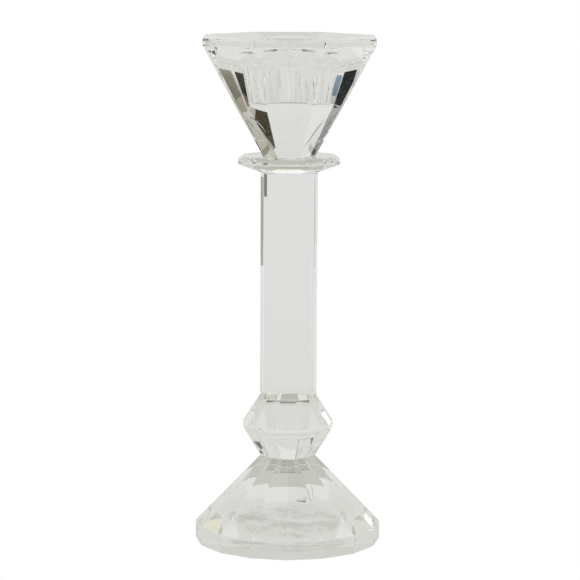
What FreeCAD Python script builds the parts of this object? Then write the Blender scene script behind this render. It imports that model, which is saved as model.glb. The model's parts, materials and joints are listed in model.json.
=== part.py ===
"""Cut-glass candlestick for a taper candle: five polished blocks of optical glass bonded end to end.

Units are millimetres and degrees. +Z is up, the origin is the centre of the underside of the base,
and -Y is the front: a flat of the cup, the drip plate and the knop, and a corner of the base, face it.
"""

import FreeCAD, Part
import math
import os

# Driving dimensions, from the table up.
BASE_SIDES = 16
BASE_ACROSS_CORNERS = 80.7
BASE_TOP_ACROSS_CORNERS = 23.1
BASE_HEIGHT = 37.6
BASE_GIRDLE = 7.8            # height of the upright band round the foot

KNOP_SIDES = 12
KNOP_ACROSS_FLATS = 39.0
KNOP_BOTTOM_ACROSS_FLATS = 23.7
KNOP_TOP_ACROSS_FLATS = 24.8
KNOP_BELOW_GIRDLE = 13.2     # height of the lower facets
KNOP_GIRDLE = 1.1
KNOP_ABOVE_GIRDLE = 11.7     # height of the upper facets

STEM_SIDE = 23.2             # square bar
STEM_CORNER = 1.5            # leg of the chamfer along each upright corner
STEM_HEIGHT = 98.5
STEM_TURN = 4.3              # the bar is bonded a little out of square with the other pieces

PLATE_SIDES = 8
PLATE_ACROSS_FLATS = 44.0
PLATE_BOTTOM_ACROSS_FLATS = 25.9
PLATE_TOP_ACROSS_FLATS = 38.7
PLATE_BELOW_EDGE = 3.7
PLATE_EDGE = 0.9             # height of the upright band between the two bevels
PLATE_ABOVE_EDGE = 1.9

CUP_SIDES = 8
CUP_ACROSS_FLATS = 73.6
CUP_BOTTOM_ACROSS_FLATS = 22.4
CUP_TAPER_HEIGHT = 48.0
CUP_RIM_BAND = 3.0           # height of the upright band under the rim

BORE_DIAMETER = 23.6         # takes the 22 mm foot of a standard taper candle
BORE_DEPTH = 25.0
BORE_CHAMFER = 0.5

FILM = 0.1                   # thickness of the clear adhesive between two blocks

# Heights of the joints, worked out from the pieces below them.
knop_foot = BASE_HEIGHT + FILM
knop_height = KNOP_BELOW_GIRDLE + KNOP_GIRDLE + KNOP_ABOVE_GIRDLE
stem_foot = knop_foot + knop_height + FILM
plate_foot = stem_foot + STEM_HEIGHT + FILM
plate_height = PLATE_BELOW_EDGE + PLATE_EDGE + PLATE_ABOVE_EDGE
cup_foot = plate_foot + plate_height + FILM
overall_height = cup_foot + CUP_TAPER_HEIGHT + CUP_RIM_BAND


def flats_from_corners(across_corners, sides):
    """Width across the flats of a regular polygon whose width across the corners is known."""
    return across_corners * math.cos(math.pi / sides)


def ring(sides, across_flats, height, turn):
    """Corners of a level regular polygon, with a flat to the front when turn is zero."""
    corner_radius = across_flats / 2 / math.cos(math.pi / sides)
    first = math.radians(turn - 90) + math.pi / sides
    corners = []
    for i in range(sides):
        angle = first + 2 * math.pi * i / sides
        x = corner_radius * math.cos(angle)
        y = corner_radius * math.sin(angle)
        corners.append(FreeCAD.Vector(x, y, height))
    return corners


def flat_face(corners):
    return Part.Face(Part.makePolygon(corners + corners[:1]))


def faceted(rings):
    """A solid with flat facets between one ring of corners and the next, closed top and bottom."""
    faces = [flat_face(rings[0]), flat_face(rings[-1])]
    for low, high in zip(rings, rings[1:]):
        for i in range(len(low)):
            j = (i + 1) % len(low)
            faces.append(flat_face([low[i], low[j], high[j], high[i]]))
    solid = Part.makeSolid(Part.makeShell(faces))
    if solid.Volume < 0:
        solid.reverse()
    return solid


def cut_block(sides, levels, turn=0.0):
    """A faceted block from its levels, each a height and the width across the flats there."""
    return faceted([ring(sides, across_flats, height, turn) for height, across_flats in levels])


def make_base():
    half_step = 180 / BASE_SIDES
    wide = flats_from_corners(BASE_ACROSS_CORNERS, BASE_SIDES)
    narrow = flats_from_corners(BASE_TOP_ACROSS_CORNERS, BASE_SIDES)
    levels = [(0, wide), (BASE_GIRDLE, wide), (BASE_HEIGHT, narrow)]
    return cut_block(BASE_SIDES, levels, turn=half_step)


def make_knop():
    girdle_low = knop_foot + KNOP_BELOW_GIRDLE
    girdle_high = girdle_low + KNOP_GIRDLE
    levels = [
        (knop_foot, KNOP_BOTTOM_ACROSS_FLATS),
        (girdle_low, KNOP_ACROSS_FLATS),
        (girdle_high, KNOP_ACROSS_FLATS),
        (girdle_high + KNOP_ABOVE_GIRDLE, KNOP_TOP_ACROSS_FLATS),
    ]
    return cut_block(KNOP_SIDES, levels)


def make_stem():
    bar = Part.makeBox(STEM_SIDE, STEM_SIDE, STEM_HEIGHT)
    upright = [e for e in bar.Edges if abs(e.tangentAt(e.FirstParameter).z) > 0.5]
    bar = bar.makeChamfer(STEM_CORNER, upright)
    bar.translate(FreeCAD.Vector(-STEM_SIDE / 2, -STEM_SIDE / 2, stem_foot))
    bar.rotate(FreeCAD.Vector(0, 0, 0), FreeCAD.Vector(0, 0, 1), STEM_TURN)
    return bar


def make_drip_plate():
    edge_low = plate_foot + PLATE_BELOW_EDGE
    edge_high = edge_low + PLATE_EDGE
    levels = [
        (plate_foot, PLATE_BOTTOM_ACROSS_FLATS),
        (edge_low, PLATE_ACROSS_FLATS),
        (edge_high, PLATE_ACROSS_FLATS),
        (edge_high + PLATE_ABOVE_EDGE, PLATE_TOP_ACROSS_FLATS),
    ]
    return cut_block(PLATE_SIDES, levels)


def make_candle_cup():
    band_foot = cup_foot + CUP_TAPER_HEIGHT
    levels = [
        (cup_foot, CUP_BOTTOM_ACROSS_FLATS),
        (band_foot, CUP_ACROSS_FLATS),
        (overall_height, CUP_ACROSS_FLATS),
    ]
    bore_floor = FreeCAD.Vector(0, 0, overall_height - BORE_DEPTH)
    bore = Part.makeCylinder(BORE_DIAMETER / 2, BORE_DEPTH, bore_floor)
    chamfer_foot = FreeCAD.Vector(0, 0, overall_height - BORE_CHAMFER)
    mouth_radius = BORE_DIAMETER / 2 + BORE_CHAMFER
    mouth = Part.makeCone(BORE_DIAMETER / 2, mouth_radius, BORE_CHAMFER, chamfer_foot)
    return cut_block(CUP_SIDES, levels).cut(bore.fuse(mouth))


def make_film(lower, upper):
    """The clear adhesive between two blocks: it fills the area that both ground faces cover."""
    level = lower.BoundBox.ZMax
    lower_face = next(f for f in lower.Faces if f.BoundBox.ZMin > level - FILM / 10)
    upper_face = next(f for f in upper.Faces if f.BoundBox.ZMax < level + FILM + FILM / 10)
    below = lower_face.extrude(FreeCAD.Vector(0, 0, FILM))
    above = upper_face.extrude(FreeCAD.Vector(0, 0, -FILM))
    return below.common(above)


blocks = {
    "base": make_base(),
    "knop": make_knop(),
    "stem": make_stem(),
    "drip_plate": make_drip_plate(),
    "candle_cup": make_candle_cup(),
}
films = {
    "bond_base_knop": make_film(blocks["base"], blocks["knop"]),
    "bond_knop_stem": make_film(blocks["knop"], blocks["stem"]),
    "bond_stem_plate": make_film(blocks["stem"], blocks["drip_plate"]),
    "bond_plate_cup": make_film(blocks["drip_plate"], blocks["candle_cup"]),
}

os.makedirs("parts", exist_ok=True)
for name, shape in {**blocks, **films}.items():
    solid = shape.Solids[0]
    solid.exportStep(f"parts/{name}.step")
    print(f"{name}: {solid.Volume / 1000:.2f} cm3, valid {solid.isValid()}, one solid {len(shape.Solids) == 1}")
print(f"overall height {overall_height:.1f} mm")
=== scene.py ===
"""Cut-glass candlestick for a taper candle.

The polished blocks, the adhesive between them, the studio and the camera.
"""

import json
import math

import bmesh
import bpy
from mathutils import Matrix, Vector


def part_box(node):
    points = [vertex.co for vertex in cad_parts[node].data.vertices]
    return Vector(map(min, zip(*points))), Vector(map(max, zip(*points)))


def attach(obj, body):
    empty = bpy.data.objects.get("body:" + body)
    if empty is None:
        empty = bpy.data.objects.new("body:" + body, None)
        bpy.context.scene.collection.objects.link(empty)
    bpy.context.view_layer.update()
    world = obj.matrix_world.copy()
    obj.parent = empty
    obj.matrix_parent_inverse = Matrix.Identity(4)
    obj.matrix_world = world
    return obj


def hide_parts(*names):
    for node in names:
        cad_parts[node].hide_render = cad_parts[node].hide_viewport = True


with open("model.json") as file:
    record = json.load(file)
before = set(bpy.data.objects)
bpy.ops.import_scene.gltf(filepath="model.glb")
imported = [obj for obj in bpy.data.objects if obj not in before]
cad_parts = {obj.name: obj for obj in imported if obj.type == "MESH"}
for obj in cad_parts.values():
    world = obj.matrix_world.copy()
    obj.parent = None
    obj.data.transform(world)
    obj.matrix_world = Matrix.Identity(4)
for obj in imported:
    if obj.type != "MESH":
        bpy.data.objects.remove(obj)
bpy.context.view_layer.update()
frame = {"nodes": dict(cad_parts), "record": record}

MM = 0.001                      # the frame is in metres

# Edges of the cut blocks.
ARRIS = 0.22 * MM               # fine polished bevel along every cut edge
ARRIS_STEPS = 2
CUT_ANGLE = math.radians(5)     # facets that meet at more than this have a cut edge between them
CUP_SIDES = 8

# The bore of the cup, which takes the foot of a taper candle.
BORE_DEPTH = 25.0 * MM
BORE_CHAMFER = 0.5 * MM
BORE_FLOOR_ROUND = 0.8 * MM     # radius where the wall runs into the floor
FLOOR_ROUND_STEPS = 4
BORE_STEPS = 192                # facets round the bore, shaded smooth

# Faces that are bonded.
FILM_GAP = 0.01 * MM            # keeps the adhesive's faces off the glass's own faces
JOINT_REACH = 0.05 * MM         # a film this near the top of a block lies on its top
FACE_REACH = 0.02 * MM          # how far a flat face may be from the height it is looked for at
CUT_REACH = 0.001 * MM          # corners this near a cut are taken to lie on it
LEVEL = 0.999                   # upright part of the normal of a face that counts as level

# Finish of the glass. Scales are in waves per metre, lengths in metres.
GLASS_IOR = 1.52
GLASS_COLOUR = (1.0, 1.0, 0.995, 1)
DEPTH_TINT = (0.95, 0.98, 0.89, 1)       # what is left of white light deep in the glass
DEPTH_TINT_DENSITY = 1.8
WAVE_DETAIL = 1.5
WIPE_SCALE, WIPE_DETAIL, WIPE_STRETCH = 160.0, 4.0, (1.0, 1.0, 0.25)
FILM_SCALE, FILM_DETAIL = 90.0, 3.0

# Scuffs on the ground underside. Each grey level says how much of the scuff covers the glass.
SCUFF_COLOUR = (0.60, 0.60, 0.55, 1)
SCUFF_SCALE, SCUFF_DETAIL, SCUFF_STRETCH = 130.0, 5.0, (0.6, 1.0, 1.0)
SCUFF_THIN = (0.44, (0.06, 0.06, 0.06, 1))
SCUFF_THICK = (0.60, (0.34, 0.34, 0.34, 1))
SCUFF_FULL_RADIUS = 16.0 * MM
SCUFF_END_RADIUS = 19.0 * MM

BONDED, GROUND = 1, 2           # materials of a glass block, after the polished one


# ---------------------------------------------------------------- shapes

def rings_of(node):
    """Corners of a cut block at each of its levels, lowest first, each ring in order round the axis."""
    levels = {}
    for vertex in frame["nodes"][node].data.vertices:
        point = vertex.co
        levels.setdefault(round(point.z, 6), set()).add((round(point.x, 6), round(point.y, 6)))
    rings = []
    for height in sorted(levels):
        ring = sorted(levels[height], key=lambda p: math.atan2(p[1], p[0]))
        rings.append([Vector((x, y, height)) for x, y in ring])
    return rings


def block_from_rings(rings):
    """A faceted solid, drawn up from its lowest ring level by level."""
    bm = bmesh.new()
    top = bm.faces.new([bm.verts.new(point) for point in rings[0]])
    for step, ring in enumerate(rings[1:]):
        covered = top
        grown = bmesh.ops.extrude_face_region(bm, geom=[covered])["geom"]
        top = next(g for g in grown if isinstance(g, bmesh.types.BMFace))
        if step > 0:
            bmesh.ops.delete(bm, geom=[covered], context="FACES_ONLY")
        for vertex in top.verts:
            vertex.co = min(ring, key=lambda p: (p.xy.normalized() - vertex.co.xy.normalized()).length)
    bmesh.ops.recalc_face_normals(bm, faces=bm.faces)
    return bm


def polish_edges(bm):
    """Takes the sharpness off the cut edges with a fine bevel."""
    cut = [e for e in bm.edges if e.calc_face_angle(0.0) > CUT_ANGLE]
    bmesh.ops.bevel(
        bm, geom=cut, offset=ARRIS, offset_type="OFFSET", affect="EDGES",
        segments=ARRIS_STEPS, profile=0.5, material=-1, clamp_overlap=True,
    )


def finished(bm, name):
    """Turns the normals outward and puts the mesh in an object of its own."""
    bmesh.ops.recalc_face_normals(bm, faces=bm.faces)
    mesh = bpy.data.meshes.new(name)
    bm.to_mesh(mesh)
    bm.free()
    piece = bpy.data.objects.new(name, mesh)
    bpy.context.scene.collection.objects.link(piece)
    return piece


def flat_faces_at(bm, height):
    """Level faces of a piece at that height."""
    return [
        f for f in bm.faces
        if abs(f.normal.z) > LEVEL and abs(f.calc_center_median().z - height) < FACE_REACH
    ]


def couple(bm, outline, height):
    """Cuts the film's outline into the flat face at that height and marks what is inside as bonded."""
    sides = []
    for here, there in zip(outline, outline[1:] + outline[:1]):
        along = (there - here).normalized()
        sides.append((here, Vector((along.y, -along.x, 0.0))))
    for point, outward in sides:
        faces = flat_faces_at(bm, height)
        edges = {e for f in faces for e in f.edges}
        verts = {v for f in faces for v in f.verts}
        bmesh.ops.bisect_plane(
            bm, geom=[*faces, *edges, *verts], dist=CUT_REACH, plane_co=point, plane_no=outward,
        )
    for face in flat_faces_at(bm, height):
        centre = face.calc_center_median()
        if all((centre - point).dot(outward) < 0.0 for point, outward in sides):
            face.material_index = BONDED


def make_block(node, joints):
    """One cut block with polished edges. The joints are the films above and below it."""
    bm = block_from_rings(rings_of(node))
    polish_edges(bm)
    low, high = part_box(node)
    for joint in joints:
        film_low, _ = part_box(joint)
        height = high.z if film_low.z >= high.z - JOINT_REACH else low.z
        couple(bm, rings_of(joint)[0], height)
    if node == "base":
        for face in bm.faces:
            if face.normal.z < -LEVEL:
                face.material_index = GROUND
    return finished(bm, f"{node}_glass")


def bore_profile(radius, mouth_height):
    """Radius and height of the bore from under its chamfer to the edge of its flat floor."""
    profile = [(radius, mouth_height - BORE_CHAMFER)]
    round_top = mouth_height - BORE_DEPTH + BORE_FLOOR_ROUND
    for i in range(FLOOR_ROUND_STEPS + 1):
        turn = math.radians(90 * i / FLOOR_ROUND_STEPS)
        inward = BORE_FLOOR_ROUND * (1 - math.cos(turn))
        profile.append((radius - inward, round_top - BORE_FLOOR_ROUND * math.sin(turn)))
    return profile


def make_cup(node, joints):
    """The tapered cup: its outside cut like the other blocks, its round bore drawn down from the rim."""
    low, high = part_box(node)
    rings = [ring for ring in rings_of(node) if len(ring) == CUP_SIDES]
    bore_radius = frame["record"]["mounts"][0]["dims"]["r_mm"] * MM
    foot, band = rings[0], rings[1]
    rim = [Vector((p.x, p.y, high.z)) for p in band]
    bm = block_from_rings([foot, band, rim])
    polish_edges(bm)
    top = max(bm.faces, key=lambda f: (round(f.calc_center_median().z, 6), f.calc_area()))
    rim_edges = list(top.edges)
    bmesh.ops.delete(bm, geom=[top], context="FACES_ONLY")
    mouth = bmesh.ops.create_circle(bm, segments=BORE_STEPS, radius=bore_radius + BORE_CHAMFER)["verts"]
    bmesh.ops.translate(bm, verts=mouth, vec=Vector((0, 0, high.z)))
    mouth_edges = list({e for v in mouth for e in v.link_edges})
    bmesh.ops.triangle_fill(bm, use_beauty=True, use_dissolve=False, edges=rim_edges + mouth_edges)
    loop, radius = mouth_edges, bore_radius + BORE_CHAMFER
    for step, (next_radius, height) in enumerate(bore_profile(bore_radius, high.z)):
        grown = bmesh.ops.extrude_edge_only(bm, edges=loop)["geom"]
        verts = [g for g in grown if isinstance(g, bmesh.types.BMVert)]
        edges = [g for g in grown if isinstance(g, bmesh.types.BMEdge)]
        loop = [e for e in edges if all(v in verts for v in e.verts)]
        for face in grown:
            if isinstance(face, bmesh.types.BMFace):
                face.smooth = True
        for vertex in verts:
            x, y = (across * next_radius / radius for across in vertex.co.xy)
            vertex.co = Vector((x, y, height))
        for edge in loop:
            edge.smooth = step > 0      # only the chamfer meets the wall at a sharp edge
        radius = next_radius
    bmesh.ops.edgeloop_fill(bm, edges=loop)
    for edge in mouth_edges:
        edge.smooth = False
    for joint in joints:
        couple(bm, rings_of(joint)[0], low.z)
    return finished(bm, f"{node}_glass")


def make_film(node):
    """The adhesive between two blocks, a little thinner than the gap that it fills."""
    low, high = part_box(node)
    rings = rings_of(node)
    for point in rings[0]:
        point.z = low.z + FILM_GAP
    for point in rings[-1]:
        point.z = high.z - FILM_GAP
    bm = block_from_rings([rings[0], rings[-1]])
    return finished(bm, f"{node}_adhesive")


# ---------------------------------------------------------------- materials

def new_material(name):
    """An empty node material, with its nodes and links."""
    material = bpy.data.materials.new(name)
    material.use_nodes = True
    material.node_tree.nodes.clear()
    return material, material.node_tree.nodes, material.node_tree.links


def noise(nodes, links, scale, detail, stretch=(1, 1, 1)):
    """Noise on the piece's own coordinates, in metres, stretched along its axes."""
    place = nodes.new("ShaderNodeTexCoord")
    mapping = nodes.new("ShaderNodeMapping")
    mapping.inputs["Scale"].default_value = stretch
    texture = nodes.new("ShaderNodeTexNoise")
    texture.inputs["Scale"].default_value = scale
    texture.inputs["Detail"].default_value = detail
    links.new(place.outputs["Object"], mapping.inputs["Vector"])
    links.new(mapping.outputs["Vector"], texture.inputs["Vector"])
    return texture.outputs["Fac"]


def span_of(nodes, links, value, source, target):
    """A value carried over from one range to another, and held at its ends."""
    span = nodes.new("ShaderNodeMapRange")
    span.inputs["From Min"].default_value, span.inputs["From Max"].default_value = source
    span.inputs["To Min"].default_value, span.inputs["To Max"].default_value = target
    links.new(value, span.inputs["Value"])
    return span.outputs["Result"]


def glass_material(name, wave_scale, wave_depth, roughness, rests_on_table=False):
    """Optical glass: the lap leaves slow waves in each facet, and handling leaves faint wipe marks."""
    material, nodes, links = new_material(name)
    out = nodes.new("ShaderNodeOutputMaterial")
    glass = nodes.new("ShaderNodeBsdfPrincipled")
    glass.inputs["Base Color"].default_value = GLASS_COLOUR
    glass.inputs["IOR"].default_value = GLASS_IOR
    glass.inputs["Transmission Weight"].default_value = 1.0
    waves = noise(nodes, links, wave_scale, WAVE_DETAIL)
    bump = nodes.new("ShaderNodeBump")
    bump.inputs["Strength"].default_value = 1.0
    bump.inputs["Distance"].default_value = wave_depth
    links.new(waves, bump.inputs["Height"])
    links.new(bump.outputs["Normal"], glass.inputs["Normal"])
    wipes = noise(nodes, links, WIPE_SCALE, WIPE_DETAIL, WIPE_STRETCH)
    links.new(span_of(nodes, links, wipes, (0.0, 1.0), roughness), glass.inputs["Roughness"])
    depth_tint = nodes.new("ShaderNodeVolumeAbsorption")
    depth_tint.inputs["Color"].default_value = DEPTH_TINT
    depth_tint.inputs["Density"].default_value = DEPTH_TINT_DENSITY
    surface = glass.outputs["BSDF"]
    if rests_on_table:
        surface = scuffed(nodes, links, surface)
    links.new(surface, out.inputs["Surface"])
    links.new(depth_tint.outputs["Volume"], out.inputs["Volume"])
    return material


def scuffed(nodes, links, glass):
    """Mixes a streaky frosted patch into the middle of the underside, left from the grinding."""
    scuff = nodes.new("ShaderNodeBsdfDiffuse")
    scuff.inputs["Color"].default_value = SCUFF_COLOUR
    cover = nodes.new("ShaderNodeValToRGB")
    for stop, (position, colour) in zip(cover.color_ramp.elements, (SCUFF_THIN, SCUFF_THICK)):
        stop.position = position
        stop.color = colour
    streaks = noise(nodes, links, SCUFF_SCALE, SCUFF_DETAIL, SCUFF_STRETCH)
    links.new(streaks, cover.inputs["Fac"])
    place = nodes.new("ShaderNodeTexCoord")
    radius = nodes.new("ShaderNodeVectorMath")
    radius.operation = "LENGTH"
    links.new(place.outputs["Object"], radius.inputs[0])
    fade = (SCUFF_END_RADIUS, SCUFF_FULL_RADIUS)
    patch = span_of(nodes, links, radius.outputs["Value"], fade, (0.0, 1.0))
    amount = nodes.new("ShaderNodeMath")
    amount.operation = "MULTIPLY"
    links.new(cover.outputs["Color"], amount.inputs[0])
    links.new(patch, amount.inputs[1])
    mix = nodes.new("ShaderNodeMixShader")
    links.new(amount.outputs["Value"], mix.inputs["Fac"])
    links.new(glass, mix.inputs[1])
    links.new(scuff.outputs["BSDF"], mix.inputs[2])
    return mix.outputs["Shader"]


def clear_material(name, thin, thick):
    """Index-matched and see-through, with a slow variation between two tints."""
    material, nodes, links = new_material(name)
    out = nodes.new("ShaderNodeOutputMaterial")
    clear = nodes.new("ShaderNodeBsdfTransparent")
    tint = nodes.new("ShaderNodeValToRGB")
    tint.color_ramp.elements[0].color = (*thin, 1)
    tint.color_ramp.elements[1].color = (*thick, 1)
    links.new(noise(nodes, links, FILM_SCALE, FILM_DETAIL), tint.inputs["Fac"])
    links.new(tint.outputs["Color"], clear.inputs["Color"])
    links.new(clear.outputs["BSDF"], out.inputs["Surface"])
    return material


# ---------------------------------------------------------------- camera

CAMERA_DISTANCE = 1116.5 * MM
CAMERA_HEIGHT = 282.1 * MM
CAMERA_ASIDE = 0.65 * MM
CAMERA_PITCH = math.radians(8.75)
CAMERA_ROLL = math.radians(0.27)
CAMERA_LENS = 161.5             # focal length and sensor in millimetres, as a camera takes them
CAMERA_SENSOR = 36.0
CAMERA_NEAR, CAMERA_FAR = 0.01, 50.0


def make_camera():
    """Stands in front of the candlestick, a little above the rim, and looks down at it."""
    data = bpy.data.cameras.new("camera")
    data.lens = CAMERA_LENS
    data.sensor_width = CAMERA_SENSOR
    data.clip_start, data.clip_end = CAMERA_NEAR, CAMERA_FAR
    camera = bpy.data.objects.new("camera", data)
    place = Matrix.Translation((CAMERA_ASIDE, -CAMERA_DISTANCE, CAMERA_HEIGHT))
    tilt = Matrix.Rotation(math.pi / 2 - CAMERA_PITCH, 4, "X")
    camera.matrix_world = place @ tilt @ Matrix.Rotation(CAMERA_ROLL, 4, "Z")
    bpy.context.scene.collection.objects.link(camera)
    bpy.context.scene.camera = camera


# ---------------------------------------------------------------- studio

# How bright the studio is by the sine of the angle above the table, as the glass sees it.
STUDIO_TONES = (
    (-1.00, (0.06, 0.06, 0.05)),
    (-0.90, (0.22, 0.22, 0.19)),
    (-0.80, (0.46, 0.465, 0.41)),
    (-0.42, (0.66, 0.665, 0.63)),
    (-0.26, (0.665, 0.67, 0.635)),
    (-0.16, (0.72, 0.72, 0.71)),
    (-0.10, (0.725, 0.725, 0.715)),
    (0.02, (0.775, 0.775, 0.765)),
    (0.12, (0.755, 0.755, 0.745)),
    (0.25, (0.67, 0.675, 0.64)),
    (0.42, (0.70, 0.705, 0.675)),
    (0.55, (0.735, 0.735, 0.72)),
    (0.92, (0.77, 0.77, 0.765)),
    (1.00, (1.20, 1.20, 1.20)),
)

# Level cards round the cup, some above its rim and some below its foot.
# Each has a name, centre (mm), length and width (mm), turn (degrees) and colour.
LEVEL_CARDS = (
    ("card_olive_near", (40, -41.5, 300), (34, 9.4), -65, (0.30, 0.285, 0.225)),
    ("card_brown_near", (50.6, -38.4, 299.8), (26, 9.8), -68, (0.045, 0.039, 0.026)),
    ("card_olive_far", (63, 112.5, 300), (46, 13), 35, (0.36, 0.34, 0.26)),
    ("card_brown_far", (68.5, 104.5, 299.8), (28, 8.5), 33, (0.070, 0.058, 0.026)),
    ("card_black_near", (-42.3, -41.5, 299.8), (26, 7.2), 71, (0.012, 0.016, 0.019)),
    ("card_blue_near", (-47.6, -39, 299.8), (13, 3.4), 71, (0.24, 0.33, 0.44)),
    ("card_black_far", (-63.2, 110.6, 299.8), (34, 4.6), -38, (0.060, 0.064, 0.068)),
    ("flag_right", (127, 31.7, 100), (66, 10), 2.5, (0.010, 0.012, 0.014)),
    ("flag_left_near", (-139, 25.8, 100), (25, 4.8), 3, (0.020, 0.018, 0.012)),
    ("flag_left_far", (-110, 21.7, 100), (27, 6.6), 3, (0.030, 0.026, 0.014)),
    ("flag_left_olive", (-127, 30.2, 100.1), (62, 5.2), -6, (0.22, 0.21, 0.16)),
    ("flag_cup_left_high", (205, 205, 614), (200, 240), 45, (0.03, 0.028, 0.02)),
    ("flag_cup_right_high", (-205, 205, 614), (200, 240), 135, (0.02, 0.022, 0.024)),
    ("flag_cup_left_low", (103, -40, 300), (94, 120), 0, (0.03, 0.026, 0.014)),
    ("flag_cup_right_low", (-119, -40, 300), (62, 120), 0, (0.03, 0.032, 0.034)),
)

# Upright cards facing the candlestick: name, centre (mm), width and height (mm), colour, strength.
UPRIGHT_CARDS = (
    ("flag_stem_edge", (-34, 150, 121), (18, 44), (0.27, 0.265, 0.24), 1.0),
    ("flag_stem_inner", (28, 81, 148), (12, 13), (0.16, 0.155, 0.13), 1.0),
    ("flag_knop_left", (14, -229, 245), (64, 100), (0.07, 0.08, 0.085), 1.0),
    ("flag_knop_right", (-66, -229, 200), (50, 80), (0.25, 0.26, 0.22), 1.0),
    ("flag_plate", (53, 96, 133), (13, 10), (0.05, 0.05, 0.025), 1.0),
    ("light_bore", (0, -300, 508), (44, 60), (1.0, 1.0, 1.0), 2.2),
    ("light_bore_left", (-127, -272, 182), (12, 70), (1.0, 1.0, 1.0), 4.0),
    ("light_bore_right", (127, -272, 182), (12, 70), (1.0, 1.0, 1.0), 4.0),
    ("light_knop", (-315, -246, 55), (30, 26), (1.0, 1.0, 1.0), 1.3),
    ("light_foot", (291, 73, 46), (120, 90), (0.94, 0.97, 1.0), 1.6),
    ("card_foot_warm", (232, -94, 108), (120, 56), (0.77, 0.755, 0.62), 1.0),
)
FRONT_LIFT = 0.10               # how much brighter the studio is on the camera's side
FRONT_LIFT_SPAN = (-0.9, -0.1)  # full at the first and gone at the second, with the front at -1

# The plain surroundings, and how far light is followed through the glass.
FLOOR_HALF_WIDTH = 3.0
FLOOR_DROP = 0.5 * MM           # keeps the floor clear of the underside
BACKDROP_RADIUS = 8.0
BACKDROP_SUBDIVISIONS = 4
LIGHT_BOUNCES = 40              # light crosses many facets before it leaves the glass
CLEAR_FACES = 64                # bonded and adhesive faces that it may cross on the way


def glow(name, colour, strength=1.0):
    """Paper or a lamp, as the glass sees it: a plain glowing surface."""
    material, nodes, links = new_material(name)
    out = nodes.new("ShaderNodeOutputMaterial")
    light = nodes.new("ShaderNodeEmission")
    light.inputs["Color"].default_value = (*colour, 1)
    light.inputs["Strength"].default_value = strength
    links.new(light.outputs["Emission"], out.inputs["Surface"])
    material.cycles.emission_sampling = "NONE"
    return material


def stage_mesh(bm, name, material):
    """A part of the studio, which isn't part of the candlestick."""
    mesh = bpy.data.meshes.new(name)
    bm.to_mesh(mesh)
    bm.free()
    mesh.materials.append(material)
    thing = bpy.data.objects.new(name, mesh)
    bpy.context.scene.collection.objects.link(thing)
    return thing


def only_for_camera(thing):
    """Hides a thing from the glass, so that only the camera sees it."""
    thing.visible_diffuse = False
    thing.visible_glossy = False
    thing.visible_transmission = False
    thing.visible_shadow = False


def make_floor():
    bm = bmesh.new()
    bmesh.ops.create_grid(bm, x_segments=1, y_segments=1, size=FLOOR_HALF_WIDTH)
    bmesh.ops.translate(bm, verts=bm.verts, vec=(0, 0, -FLOOR_DROP))
    only_for_camera(stage_mesh(bm, "floor", glow("white_floor", (1, 1, 1))))


def make_backdrop():
    bm = bmesh.new()
    bmesh.ops.create_icosphere(bm, subdivisions=BACKDROP_SUBDIVISIONS, radius=BACKDROP_RADIUS)
    only_for_camera(stage_mesh(bm, "backdrop", glow("white_backdrop", (1, 1, 1))))


def make_card(name, size, facing, centre, material):
    """A flat card, turned and then moved to its place, that the camera itself doesn't see."""
    bm = bmesh.new()
    bmesh.ops.create_grid(bm, x_segments=1, y_segments=1, size=0.5)
    bmesh.ops.scale(bm, verts=bm.verts, vec=(size[0] * MM, size[1] * MM, 1))
    bmesh.ops.rotate(bm, verts=bm.verts, matrix=facing)
    bmesh.ops.translate(bm, verts=bm.verts, vec=Vector(centre) * MM)
    card = stage_mesh(bm, name, material)
    card.visible_camera = False


def make_level_card(name, centre, size, turn, colour):
    facing = Matrix.Rotation(math.radians(turn), 3, "Z")
    make_card(name, size, facing, centre, glow(name + "_paper", colour))


def make_upright_card(name, centre, size, colour, strength):
    facing = Vector((centre[0], centre[1], 0.0)).to_track_quat("Z", "Y").to_matrix()
    make_card(name, size, facing, centre, glow(name + "_paper", colour, strength))


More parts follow.
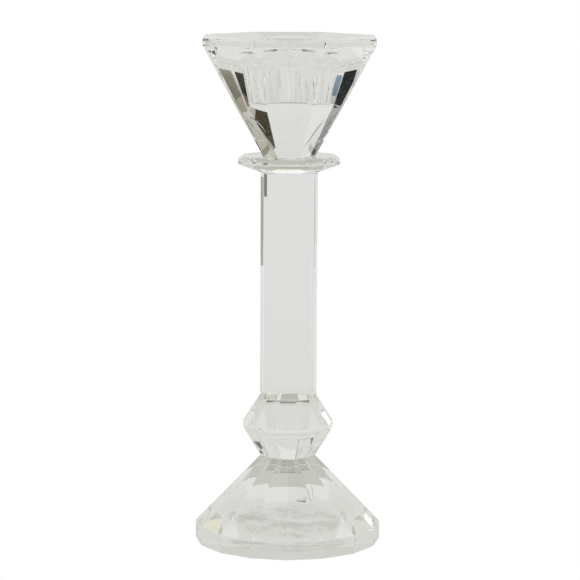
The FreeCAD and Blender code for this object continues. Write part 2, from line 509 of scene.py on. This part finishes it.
def make_world():
    """The rest of the studio, as the glass sees it: grey tones from the table up to the ceiling."""
    world = bpy.data.worlds.new("studio")
    bpy.context.scene.world = world
    world.use_nodes = True
    world.cycles_visibility.camera = False
    nodes, links = world.node_tree.nodes, world.node_tree.links
    way = nodes.new("ShaderNodeTexCoord")
    split = nodes.new("ShaderNodeSeparateXYZ")
    tones = nodes.new("ShaderNodeValToRGB")
    while len(tones.color_ramp.elements) < len(STUDIO_TONES):
        tones.color_ramp.elements.new(0.5)
    for stop, (sine, colour) in zip(tones.color_ramp.elements, STUDIO_TONES):
        stop.position = (sine + 1) / 2
        stop.color = (*colour, 1)
    links.new(way.outputs["Generated"], split.inputs["Vector"])
    height = span_of(nodes, links, split.outputs["Z"], (-1.0, 1.0), (0.0, 1.0))
    links.new(height, tones.inputs["Fac"])
    links.new(tones.outputs["Color"], nodes["Background"].inputs["Color"])
    lift = span_of(nodes, links, split.outputs["Y"], FRONT_LIFT_SPAN, (1.0 + FRONT_LIFT, 1.0))
    links.new(lift, nodes["Background"].inputs["Strength"])


# ---------------------------------------------------------------- assembly

# Each film of adhesive, with the block under it and the block on it.
FILMS = {
    "bond_base_knop": ("base", "knop"),
    "bond_knop_stem": ("knop", "stem"),
    "bond_stem_plate": ("stem", "drip_plate"),
    "bond_plate_cup": ("drip_plate", "candle_cup"),
}

block_slots = (
    glass_material(
        "polished_optical_glass", wave_scale=45.0, wave_depth=0.0012 * MM, roughness=(0.0, 0.010),
    ),
    clear_material("bonded_face", thin=(1.0, 1.0, 1.0), thick=(0.998, 0.998, 0.996)),
    glass_material(
        "ground_underside", wave_scale=70.0, wave_depth=0.05 * MM, roughness=(0.01, 0.05),
        rests_on_table=True,
    ),
)
adhesive = clear_material("clear_adhesive", thin=(0.985, 0.985, 0.975), thick=(0.965, 0.965, 0.95))

for node in ("base", "knop", "stem", "drip_plate", "candle_cup"):
    joints = [film for film, pair in FILMS.items() if node in pair]
    make = make_cup if node == "candle_cup" else make_block
    piece = make(node, joints)
    for material in block_slots:
        piece.data.materials.append(material)
    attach(piece, "root")
    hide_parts(node)
for node in FILMS:
    piece = make_film(node)
    piece.data.materials.append(adhesive)
    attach(piece, "root")
    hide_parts(node)

make_camera()
make_floor()
make_backdrop()
make_world()
for card in LEVEL_CARDS:
    make_level_card(*card)
for card in UPRIGHT_CARDS:
    make_upright_card(*card)

scene = bpy.context.scene
scene.view_settings.view_transform = "Standard"
scene.cycles.max_bounces = LIGHT_BOUNCES
scene.cycles.transmission_bounces = LIGHT_BOUNCES
scene.cycles.glossy_bounces = LIGHT_BOUNCES
scene.cycles.transparent_max_bounces = CLEAR_FACES
